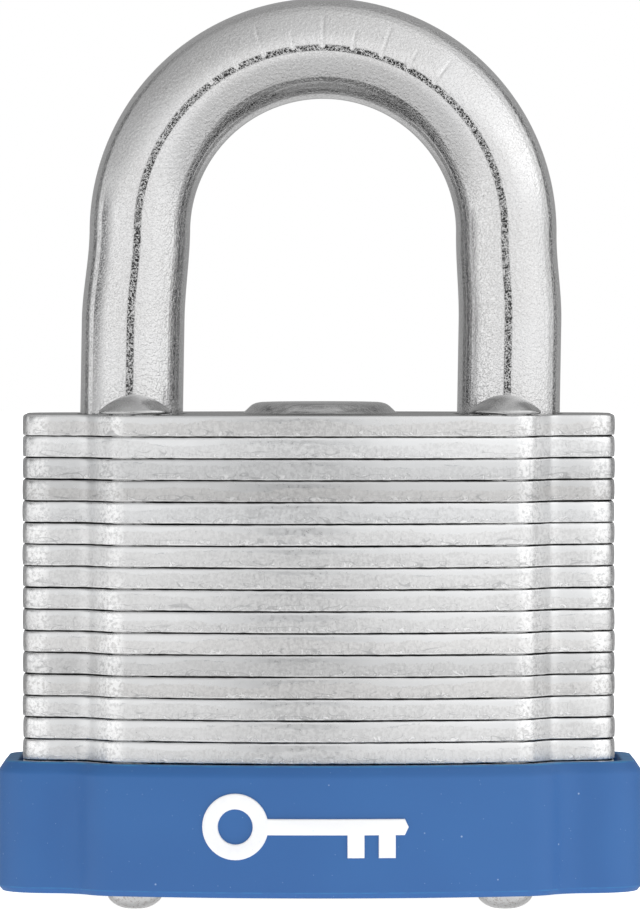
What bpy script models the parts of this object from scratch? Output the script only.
"""Laminated padlock, closed with its key turned, as separate pieces.

Metres, +Z up. The origin is centred under the body, level with the lowest rivet heads.
The body is a stack of stamped plates, riveted together, with a plastic bumper round its foot.
The shackle's heel is the leg at -X and its toe the leg at +X. The pin row of the cylinder faces +Y.
"""

import math

import bmesh
import bpy
from mathutils import Matrix, Vector

MM = 0.001

# Plates, all sizes in millimetres
PLATES = 22
PITCH = 1.675
PLATE_GAP = 0.1
HALF_WIDTH = 23.2
HALF_DEPTH = 12.5
STACK_FOOT = 1.35
STACK_TOP = STACK_FOOT + PLATES * PITCH - PLATE_GAP
BOSS_FOOT_R = 5.9
BOSS_TOP_R = 4.7
BOSS_HEIGHT = 0.92
BOSS_WALL = 0.8

# Plan outline of a plate, as four lines a quarter: crown, shoulder, ear and side
CROWN_R = 50.0
CROWN_END_X = 13.0
CROWN_STEPS = 2
SHOULDER_LINE = ((17.0, 8.7), (1.4, 1.0))
EAR_LINE = ((18.5, 7.15), (0.15, 1.0))
SHOULDER_R = 2.0
VALLEY_R = 1.2
CORNER_R = 2.2

# Rivets
RIVET_X = 14.3
RIVET_Y = 7.7
SHANK_R = 2.0
RIVET_HOLE_R = 2.32
RIVET_HEAD_R = 2.78
RIVET_FOOT_R = 2.15
RIVET_TOP_HEIGHT = 1.48
HEAD_GAP = 0.08

# Bumper
BUMPER_TOP = 11.4
BUMPER_WALL = 1.8
BUMPER_GAP = 0.2
RIB_PLATE = 4
RIB_DEPTH = 0.9
RIB_HALF_X = 9.0

# Shackle
BAR_R = 4.015
LEG_X = 14.72
ARCH_FOOT_Z = STACK_TOP + 7.3
ARCH_CENTRE_Z = STACK_TOP + 14.2
ARCH_R = 14.31
ARCH_BAR_R = 3.84
SHACKLE_HOLE_R = 4.47
TOE_END_Z = 25.0
NECK_R = 2.4
LIFT = 13.8
HEEL_CLIP_PLATE = 14
COLLAR_TOP_Z = STACK_FOOT + (HEEL_CLIP_PLATE - 1) * PITCH - LIFT
COLLAR_FOOT_Z = COLLAR_TOP_Z - 2.0
ARCH_STEPS = 16

# Latch: two dogs in the two-plate channel, a cam between them
CHANNEL_PLATES = (17, 18)
DOG_Z = (28.42, 31.13)
NOSE_TIP_X = 10.4
NOSE_HALF_Y = 3.2
NOTCH_X = 12.45
NOTCH_Z = (27.9, 31.65)
HEEL_BLOCK_X = 7.8
SHOULDER_X = 8.8
ARM_Y = (4.2, 5.8)
TAIL_X = (3.85, 5.15)
TAIL_END_Y = 2.5
CAM_MAX = 3.75
CAM_MIN = 1.95
CAM_RISE = CAM_MAX - CAM_MIN
CAM_TURN = math.pi / 2
CAM_STEPS = 8
JOURNAL_PLATE = 19

# Cylinder
HOUSING_R = 6.3
HOUSING_Z = (3.32, 20.95)
BORE_R = 4.78
PLUG_R = 4.5
FACE_R = 5.0
PLUG_Z = (1.75, 22.9)
CLIP_GROOVE_Z = (21.1, 21.95)
PLUG_NECK_R = 3.2
PLUG_HEAD_R = 3.9
CHAMBER_HALF_X = 2.4
CHAMBER_TOP_Y = 10.0
COVER_Y = (10.12, 10.7)
PIN_ROW_Z = [5.4 + 3.0 * row for row in range(5)]
PIN_R = 1.0
CHAMBER_R = 1.3
PIN_LENGTHS = (1.9, 1.3, 2.3, 1.6, 2.1)
PIN_FLOOR_X = -1.0
KEY_PIN_TOP = 4.42
DRIVER_Y = (4.8, 7.0)
KEYWAY_HALF = 0.8

STEEL = ("plate_steel", (0.66, 0.66, 0.65), 0.38, 1.0)
RIVET_STEEL = ("rivet_steel", (0.60, 0.60, 0.59), 0.42, 1.0)
SHACKLE_STEEL = ("shackle_zinc", (0.74, 0.74, 0.73), 0.24, 1.0)
BRASS = ("cylinder_brass", (0.78, 0.60, 0.30), 0.35, 1.0)
SPRING_STEEL = ("spring_steel", (0.45, 0.45, 0.46), 0.35, 1.0)
BLUE_PLASTIC = ("bumper_plastic", (0.06, 0.17, 0.45), 0.45, 0.0)


def clear_scene():
    for thing in list(bpy.data.objects):
        bpy.data.objects.remove(thing, do_unlink=True)


def material(spec):
    name, colour, roughness, metallic = spec
    made = bpy.data.materials.get(name)
    if made is None:
        made = bpy.data.materials.new(name)
        made.use_nodes = True
        shader = made.node_tree.nodes["Principled BSDF"]
        shader.inputs["Base Color"].default_value = (*colour, 1.0)
        shader.inputs["Roughness"].default_value = roughness
        shader.inputs["Metallic"].default_value = metallic
        made.diffuse_color = (*colour, 1.0)
    return made


def add_object(name, mesh_builder, spec=None, smooth=False):
    """Make a named object from a bmesh in millimetres; without a finish it is a hidden cutter."""
    mesh = bpy.data.meshes.new(name)
    bmesh.ops.recalc_face_normals(mesh_builder, faces=mesh_builder.faces)
    bmesh.ops.scale(mesh_builder, vec=(MM, MM, MM), verts=mesh_builder.verts)
    mesh_builder.to_mesh(mesh)
    mesh_builder.free()
    made = bpy.data.objects.new(name, mesh)
    bpy.context.scene.collection.objects.link(made)
    if spec is None:
        made.hide_render = True
        made.display_type = "WIRE"
    else:
        mesh.materials.append(material(spec))
    if smooth:
        mesh.shade_smooth()
        mesh.set_sharp_from_angle(angle=math.radians(40))
    return made


def boolean(target, cutter, operation="DIFFERENCE"):
    step = target.modifiers.new(cutter.name, "BOOLEAN")
    step.operation = operation
    step.object = cutter


def set_origin(thing, point):
    """Move an object's origin to a point given in millimetres, leaving its shape where it is."""
    shift = Vector(point) * MM
    thing.data.transform(Matrix.Translation(-shift))
    thing.location = shift


# Plan shapes


def circle(radius, count, centre=(0.0, 0.0), start=0.0):
    turn = 2 * math.pi / count
    return [
        (
            centre[0] + radius * math.cos(start + turn * step),
            centre[1] + radius * math.sin(start + turn * step),
        )
        for step in range(count)
    ]


def rectangle(low, high):
    return [(low[0], low[1]), (high[0], low[1]), (high[0], high[1]), (low[0], high[1])]


def line_crossing(first, second):
    """Where two lines (unit normal, distance) cross."""
    (ax, ay), a = first
    (bx, by), b = second
    size = ax * by - ay * bx
    return ((a * by - b * ay) / size, (ax * b - bx * a) / size)


def rounded(before, corner, after, radius, steps):
    """The points of an arc that rounds a corner."""
    corner = Vector(corner)
    inward = (Vector(before) - corner).normalized()
    onward = (Vector(after) - corner).normalized()
    half = inward.angle(onward) / 2
    reach = radius / math.tan(half)
    centre = corner + (inward + onward).normalized() * (radius / math.sin(half))
    first = corner + inward * reach - centre
    last = corner + onward * reach - centre
    turn = first.angle_signed(last)
    points = []
    for step in range(steps + 1):
        points.append(tuple(centre + Matrix.Rotation(-turn * step / steps, 2) @ first))
    return points


def lock_outline(grow=0.0):
    """The body's plan, pushed out by grow: a gentle crown, a shoulder and an ear, four quarters alike."""
    crown_centre_y = HALF_DEPTH - CROWN_R
    crown_normal = Vector((CROWN_END_X, math.sqrt(CROWN_R**2 - CROWN_END_X**2))) / CROWN_R
    lines = [(crown_normal, crown_normal.y * crown_centre_y + CROWN_R + grow)]
    for point, normal in (SHOULDER_LINE, EAR_LINE):
        unit = Vector(normal).normalized()
        lines.append((unit, unit.dot(Vector(point)) + grow))
    lines.append((Vector((1.0, 0.0)), HALF_WIDTH + grow))
    quarter = []
    for step in range(CROWN_STEPS + 1):
        angle = math.asin(CROWN_END_X / CROWN_R) * step / CROWN_STEPS
        reach = CROWN_R + grow
        quarter.append((reach * math.sin(angle), crown_centre_y + reach * math.cos(angle)))
    corners = [line_crossing(a, b) for a, b in zip(lines, lines[1:])]
    path = [quarter[-1], *corners, (HALF_WIDTH + grow, 0.0)]
    radii = (SHOULDER_R + grow, max(VALLEY_R - grow, 0.8), CORNER_R + grow)
    for place, (radius, steps) in enumerate(zip(radii, (2, 1, 2)), start=1):
        quarter += rounded(path[place - 1], path[place], path[place + 1], radius, steps)
    right = quarter + [(x, -y) for x, y in reversed(quarter)]
    left = [(-x, -y) for x, y in right]
    return right[:-1] + left[:-1]


def relieved(outline, depth):
    """The same plan with the middle of its front and back drawn in by depth, for the bumper's rib."""
    drawn_in = []
    for x, y in outline:
        shift = math.copysign(depth, y) if abs(x) < RIB_HALF_X else 0.0
        drawn_in.append((x, y - shift))
    return drawn_in


# Solids


def loft(rings, closed=False):
    """Skin a run of rings of equal count; the ends are filled unless the run closes on itself."""
    shape = bmesh.new()
    loops = [[shape.verts.new(point) for point in ring] for ring in rings]
    pairs = list(zip(loops, loops[1:]))
    if closed:
        pairs.append((loops[-1], loops[0]))
    for lower, upper in pairs:
        count = len(lower)
        for step in range(count):
            follow = (step + 1) % count
            shape.faces.new((lower[step], lower[follow], upper[follow], upper[step]))
    if not closed:
        shape.faces.new(list(reversed(loops[0])))
        shape.faces.new(loops[-1])
    return shape


def prism(outline, low, high):
    return loft([[(x, y, z) for x, y in outline] for z in (low, high)])


def turned(profile, count, centre=(0.0, 0.0), start=0.0):
    """A solid turned about a vertical axis; profile is (radius, height) from the foot up."""
    rings = []
    for radius, height in profile:
        rings.append([(x, y, height) for x, y in circle(radius, count, centre, start)])
    return loft(rings)


def along_y(outline, low, high):
    """A prism along Y; the outline gives (x, z)."""
    return loft([[(x, y, z) for x, z in outline] for y in (low, high)])


def along_x(outline, low, high):
    """A prism along X; the outline gives (y, z)."""
    return loft([[(x, y, z) for y, z in outline] for x in (low, high)])


def tube(path, wire_r, sides):
    """A round wire along a path."""
    points = [Vector(point) for point in path]
    rings = []
    normal = None
    for place, point in enumerate(points):
        ahead = points[min(place + 1, len(points) - 1)] - points[max(place - 1, 0)]
        ahead.normalize()
        if normal is None:
            normal = ahead.orthogonal().normalized()
        normal = (normal - ahead * normal.dot(ahead)).normalized()
        across = ahead.cross(normal)
        ring = []
        for step in range(sides):
            angle = 2 * math.pi * step / sides
            ring.append(tuple(point + (normal * math.cos(angle) + across * math.sin(angle)) * wire_r))
        rings.append(ring)
    return loft(rings)


def coil(start, end, mean_r, wire_r, turns, steps=9, sides=5):
    """A compression spring between two points."""
    start = Vector(start)
    axis = Vector(end) - start
    side = axis.orthogonal().normalized()
    other = axis.normalized().cross(side)
    path = []
    count = int(turns * steps)
    for step in range(count + 1):
        angle = 2 * math.pi * step / steps
        spoke = (side * math.cos(angle) + other * math.sin(angle)) * mean_r
        path.append(start + axis * (step / count) + spoke)
    return tube(path, wire_r, sides)


# The plates and what holds them


def plate_z(number):
    """Foot and top of a plate, counted from 1 at the foot of the stack."""
    foot = STACK_FOOT + (number - 1) * PITCH
    return foot, foot + PITCH - PLATE_GAP


def span(first, last):
    """The height of a cut through plates first to last, ending in the gaps beyond them."""
    return plate_z(first)[0] - PLATE_GAP / 2, plate_z(last)[1] + PLATE_GAP / 2


def housing_outline(grow):
    """The cylinder's pear shape: a round with a tower for the pin row at +Y."""
    half = CHAMBER_HALF_X + grow
    radius = HOUSING_R + grow
    top = (COVER_Y[1] if grow else CHAMBER_TOP_Y) + grow
    corner = math.acos(half / radius)
    sweep = 2 * math.pi - (math.pi - 2 * corner)
    points = [(half, top), (-half, top)]
    for step in range(15):
        angle = math.pi - corner + sweep * step / 14
        points.append((radius * math.cos(angle), radius * math.sin(angle)))
    return points


def clip_outline(grow):
    """The heel clip: a block with a slot for the shackle's neck, open towards the cylinder."""
    slot = NECK_R + 0.35 - grow
    left, right, half = LEG_X + 5.4 + grow, LEG_X - 5.9 - grow, 4.6 + grow
    if grow:
        return rectangle((-left, -half), (-right, half))
    points = [(-right, slot), (-right, half), (-left, half), (-left, -half), (-right, -half), (-right, -slot)]
    for step in range(7):
        angle = -math.pi / 2 - math.pi * step / 6
        points.append((-LEG_X + slot * math.cos(angle), slot * math.sin(angle)))
    return points


def plate_cutters():
    """Hidden cutters with the run of plates that each one goes through."""
    cutters = []

    def add(name, outline, first, last):
        cutters.append((add_object(name, prism(outline, *span(first, last))), first, last))

    for side_x in (-1, 1):
        for side_y in (-1, 1):
            centre = (side_x * RIVET_X, side_y * RIVET_Y)
            hole = circle(RIVET_HOLE_R, 8, centre, math.pi / 8)
            add(f"cut_rivet_{side_x}_{side_y}", hole, 1, PLATES)
    add("cut_heel", circle(SHACKLE_HOLE_R, 12, (-LEG_X, 0)), 2, PLATES)
    add("cut_toe", circle(SHACKLE_HOLE_R, 12, (LEG_X, 0)), 15, PLATES)
    add("cut_face", circle(FACE_R + 0.35, 12), 1, 1)
    add("cut_housing", housing_outline(0.3), 2, 12)
    add("cut_plug_clip", circle(5.65, 12), 13, 13)
    add("cut_spindle", circle(2.85, 10), 14, 16)
    add("cut_channel", channel_outline(), *CHANNEL_PLATES)
    add("cut_journal", circle(1.75, 8), 19, 19)
    add("cut_heel_clip", clip_outline(0.25), 14, 14)
    return cutters


def channel_outline():
    """The dogs' channel: wide in the middle, narrow where it opens into the shackle holes."""
    wide, narrow = ARM_Y[1] + 0.3, NOSE_HALF_Y + 0.3
    reach = SHOULDER_X + CAM_RISE + 0.3
    right = [(reach, -wide), (reach, -narrow), (LEG_X, -narrow)]
    right += [(x, -y) for x, y in reversed(right)]
    return right + [(-x, -y) for x, y in right]


def top_boss(plate):
    """The dish pressed up in the middle of the top plate, hollow from below."""
    foot = plate_z(PLATES)[0]
    crown = STACK_TOP + BOSS_HEIGHT
    boss = [(BOSS_FOOT_R, foot + 0.5), (BOSS_FOOT_R, STACK_TOP), (BOSS_TOP_R, crown)]
    dish = [
        (BOSS_FOOT_R - BOSS_WALL, foot - 0.2),
        (BOSS_FOOT_R - BOSS_WALL, STACK_TOP - BOSS_WALL),
        (BOSS_TOP_R - BOSS_WALL, crown - BOSS_WALL),
    ]
    boolean(plate, add_object("join_boss", turned(boss, 20)), "UNION")
    boolean(plate, add_object("cut_dish", turned(dish, 20)))


def make_plates():
    cutters = plate_cutters()
    for number in range(1, PLATES + 1):
        name = {1: "bottom_plate", PLATES: "top_plate"}.get(number, f"plate_{number:02d}")
        outline = lock_outline()
        if number == RIB_PLATE:
            outline = relieved(outline, RIB_DEPTH + 0.25)
        plate = add_object(name, prism(outline, *plate_z(number)), STEEL)
        for cutter, first, last in cutters:
            if first <= number <= last:
                boolean(plate, cutter)
        if number == PLATES:
            top_boss(plate)


def make_rivets():
    under, over = STACK_FOOT - HEAD_GAP, STACK_TOP + HEAD_GAP
    foot_head = [(1.1, 0.0), (1.75, 0.2), (2.08, 0.6), (RIVET_FOOT_R, 1.0), (RIVET_FOOT_R, under)]
    top_head = [(2.45, 0.08), (RIVET_HEAD_R, 0.39), (2.5, 0.85), (1.7, 1.28), (0.7, RIVET_TOP_HEIGHT)]
    profile = foot_head + [(SHANK_R, under), (SHANK_R, over)]
    profile += [(radius, STACK_TOP + height) for radius, height in top_head]
    places = {"front_left": (-1, -1), "front_right": (1, -1), "back_left": (-1, 1), "back_right": (1, 1)}
    for place, (side_x, side_y) in places.items():
        centre = (side_x * RIVET_X, side_y * RIVET_Y)
        add_object(f"rivet_{place}", turned(profile, 12, centre), RIVET_STEEL, smooth=True)


def make_bumper():
    """A ring round the lowest plates, held by a rib in the relief of one of them."""
    foot, top = STACK_FOOT, BUMPER_TOP
    rib_foot, rib_top = plate_z(RIB_PLATE)
    rib_foot, rib_top = rib_foot + 0.1, rib_top - 0.1
    inside = lock_outline(BUMPER_GAP)
    rib = relieved(inside, RIB_DEPTH)
    rings = [
        (lock_outline(BUMPER_WALL - 0.5), foot),
        (lock_outline(BUMPER_WALL), foot + 0.6),
        (lock_outline(BUMPER_WALL), top - 0.9),
        (lock_outline(BUMPER_WALL - 0.7), top),
        (inside, top),
        (inside, rib_top),
        (rib, rib_top),
        (rib, rib_foot),
        (inside, rib_foot),
        (inside, foot),
    ]
    solid = loft([[(x, y, z) for x, y in outline] for outline, z in rings], closed=True)
    add_object("bumper", solid, BLUE_PLASTIC, smooth=True)


# The shackle


def shackle_stations():
    """Places along the bar from the heel's collar over the arch to the toe: x, z, tilt, radius."""
    left = -LEG_X
    stations = [
        (left, COLLAR_FOOT_Z, 0.0, BAR_R),
        (left, COLLAR_TOP_Z, 0.0, BAR_R),
        (left, COLLAR_TOP_Z, 0.0, NECK_R),
        (left, TOE_END_Z, 0.0, NECK_R),
        (left, TOE_END_Z, 0.0, BAR_R),
        (left, ARCH_FOOT_Z, 0.0, BAR_R),
    ]
    for step in range(ARCH_STEPS + 1):
        angle = math.pi * step / ARCH_STEPS
        x = -ARCH_R * math.cos(angle)
        z = ARCH_CENTRE_Z + ARCH_R * math.sin(angle)
        stations.append((x, z, angle, ARCH_BAR_R))
    stations += [
        (LEG_X, ARCH_FOOT_Z, math.pi, BAR_R),
        (LEG_X, TOE_END_Z + 0.5, math.pi, BAR_R),
        (LEG_X, TOE_END_Z, math.pi, BAR_R - 0.4),
    ]
    return stations


def make_shackle():
    rings = []
    for x, z, tilt, radius in shackle_stations():
        ring = []
        for across, deep in circle(radius, 16):
            ring.append((x + across * math.cos(tilt), deep, z - across * math.sin(tilt)))
        rings.append(ring)
    shackle = add_object("shackle", loft(rings), SHACKLE_STEEL, smooth=True)
    for side in (-1, 1):
        edges = sorted((side * NOTCH_X, side * (NOTCH_X - 4.0)))
        notch = prism(rectangle((edges[0], -5.0), (edges[1], 5.0)), *NOTCH_Z)
        cutter = add_object(f"cut_notch_{side}", notch)
        boolean(shackle, cutter)
    set_origin(shackle, (-LEG_X, 0.0, STACK_TOP))


def make_heel_fittings():
    foot, top = plate_z(HEEL_CLIP_PLATE)
    add_object("heel_clip", prism(clip_outline(0.0), foot + 0.2, top - 0.2), SPRING_STEEL)
    start = (-LEG_X, 0.0, plate_z(2)[0] + 0.5)
    end = (-LEG_X, 0.0, COLLAR_FOOT_Z - 0.55)
    add_object("shackle_spring", coil(start, end, 2.9, 0.4, 3.5, 10, 6), SPRING_STEEL, smooth=True)


# The latch


def cam_outline():
    """Two lobes whose reach towards a flat face falls evenly as the cam turns: involutes of a circle."""
    slope = CAM_RISE / CAM_TURN
    lobe = []
    for step in range(CAM_STEPS + 1):
        angle = CAM_TURN * step / CAM_STEPS
        reach = CAM_MAX - slope * angle
        x = reach * math.cos(angle) + slope * math.sin(angle)
        y = reach * math.sin(angle) - slope * math.cos(angle)
        lobe.append((x, y))
    return lobe + [(-x, -y) for x, y in lobe]


def make_spindle():
    """The shaft that the plug turns, with the cam between the dogs and a journal above."""
    shaft = [
        (2.4, PLUG_Z[1] + 0.3),
        (2.4, DOG_Z[0] - 0.2),
        (1.8, DOG_Z[0] - 0.2),
        (1.8, DOG_Z[1] + 0.2),
        (1.4, DOG_Z[1] + 0.2),
        (1.4, plate_z(JOURNAL_PLATE)[1] - 0.2),
    ]
    spindle = add_object("cam_spindle", turned(shaft, 16), SPRING_STEEL, smooth=True)
    boolean(spindle, add_object("join_cam", prism(cam_outline(), *DOG_Z)), "UNION")
    tongue = prism(rectangle((-2.2, -0.6), (2.2, 0.6)), PLUG_Z[1] - 0.9, PLUG_Z[1] + 0.6)
    boolean(spindle, add_object("join_tongue", tongue), "UNION")


def dog_outline():
    """A dog's plan: the nose that enters the shackle, an arm past the cam, and the tail the cam pushes."""
    return [
        (NOSE_TIP_X, -NOSE_HALF_Y),
        (NOSE_TIP_X, NOSE_HALF_Y),
        (SHOULDER_X, NOSE_HALF_Y),
        (SHOULDER_X, ARM_Y[1]),
        (-TAIL_X[1], ARM_Y[1]),
        (-TAIL_X[1], -TAIL_END_Y),
        (-TAIL_X[0], -TAIL_END_Y),
        (-TAIL_X[0], ARM_Y[0]),
        (HEEL_BLOCK_X, ARM_Y[0]),
        (HEEL_BLOCK_X, -NOSE_HALF_Y),
    ]


def make_dogs():
    middle_z = sum(DOG_Z) / 2
    for side, word in ((1, "right"), (-1, "left")):
        outline = [(side * x, side * y) for x, y in dog_outline()]
        dog = add_object(f"dog_{word}", prism(outline, *DOG_Z), SPRING_STEEL)
        set_origin(dog, (side * NOSE_TIP_X, 0.0, middle_z))
        start = (side * (TAIL_X[1] + 0.3), 0.0, middle_z)
        end = (side * (HEEL_BLOCK_X - 0.3), 0.0, middle_z)
        spring = coil(start, end, 0.95, 0.2, 3.5, 7, 4)
        add_object(f"dog_spring_{word}", spring, SPRING_STEEL, smooth=True)


# The cylinder


def make_housing():
    housing = add_object("cylinder_housing", prism(housing_outline(0.0), *HOUSING_Z), BRASS)
    boolean(housing, add_object("cut_bore", prism(circle(BORE_R, 16), 0.0, 30.0)))
    for row, height in enumerate(PIN_ROW_Z, start=1):
        chamber = along_y(circle(CHAMBER_R, 8, (0.0, height)), 4.0, CHAMBER_TOP_Y + 1.0)
        boolean(housing, add_object(f"cut_chamber_{row}", chamber))
    low, high = PIN_ROW_Z[0] - 1.6, PIN_ROW_Z[-1] + 1.6
    cover = along_y(rectangle((-CHAMBER_HALF_X + 0.3, low), (CHAMBER_HALF_X - 0.3, high)), *COVER_Y)
    add_object("pin_chamber_cover", cover, BRASS)


def make_plug():
    """The plug stands a quarter turn from locked, so its pin holes face -X."""
    profile = [
        (FACE_R, PLUG_Z[0]),
        (FACE_R, HOUSING_Z[0] - 0.3),
        (PLUG_R, HOUSING_Z[0] - 0.3),
        (PLUG_R, CLIP_GROOVE_Z[0]),
        (PLUG_NECK_R, CLIP_GROOVE_Z[0]),
        (PLUG_NECK_R, CLIP_GROOVE_Z[1]),
        (PLUG_HEAD_R, CLIP_GROOVE_Z[1]),
        (PLUG_HEAD_R, PLUG_Z[1]),
    ]
    plug = add_object("plug", turned(profile, 16), BRASS, smooth=True)
    keyway = prism(rectangle((-3.3, -KEYWAY_HALF), (3.3, KEYWAY_HALF)), 0.0, PIN_ROW_Z[-1] + 1.6)
    boolean(plug, add_object("cut_keyway", keyway))
    for row, height in enumerate(PIN_ROW_Z, start=1):
        hole = along_x(circle(CHAMBER_R, 8, (0.0, height)), -6.0, PIN_FLOOR_X)
        boolean(plug, add_object(f"cut_pin_hole_{row}", hole))
    slot = prism(rectangle((-6.0, -0.9), (6.0, 0.9)), PLUG_Z[1] - 1.2, 24.0)
    boolean(plug, add_object("cut_drive_slot", slot))


def make_plug_clip():
    inner, outer, half_open = PLUG_NECK_R + 0.25, PLUG_HEAD_R + 1.4, math.radians(42)
    steps = 12
    sweep = 2 * math.pi - 2 * half_open
    angles = [half_open + sweep * step / steps for step in range(steps + 1)]
    outline = [(outer * math.cos(angle), outer * math.sin(angle)) for angle in angles]
    outline += [(inner * math.cos(angle), inner * math.sin(angle)) for angle in reversed(angles)]
    clip = prism(outline, CLIP_GROOVE_Z[0] + 0.1, CLIP_GROOVE_Z[1] - 0.1)
    add_object("plug_clip", clip, SPRING_STEEL)


def make_pins():
    for row, (height, length) in enumerate(zip(PIN_ROW_Z, PIN_LENGTHS), start=1):
        round_pin = circle(PIN_R, 8, (0.0, height))
        key_pin = along_x(round_pin, -KEY_PIN_TOP, length - KEY_PIN_TOP)
        piece = add_object(f"key_pin_{row}", key_pin, BRASS, smooth=True)
        set_origin(piece, (-KEY_PIN_TOP, 0.0, height))
        piece = add_object(f"driver_pin_{row}", along_y(round_pin, *DRIVER_Y), BRASS, smooth=True)
        set_origin(piece, (0.0, DRIVER_Y[0], height))
        start = (0.0, DRIVER_Y[1] + 0.3, height)
        end = (0.0, COVER_Y[0] - 0.3, height)
        spring = coil(start, end, 0.75, 0.15, 3.5, 6, 4)
        add_object(f"pin_spring_{row}", spring, SPRING_STEEL, smooth=True)


def main():
    clear_scene()
    make_plates()
    make_rivets()
    make_bumper()
    make_shackle()
    make_heel_fittings()
    make_spindle()
    make_dogs()
    make_housing()
    make_plug()
    make_plug_clip()
    make_pins()


main()
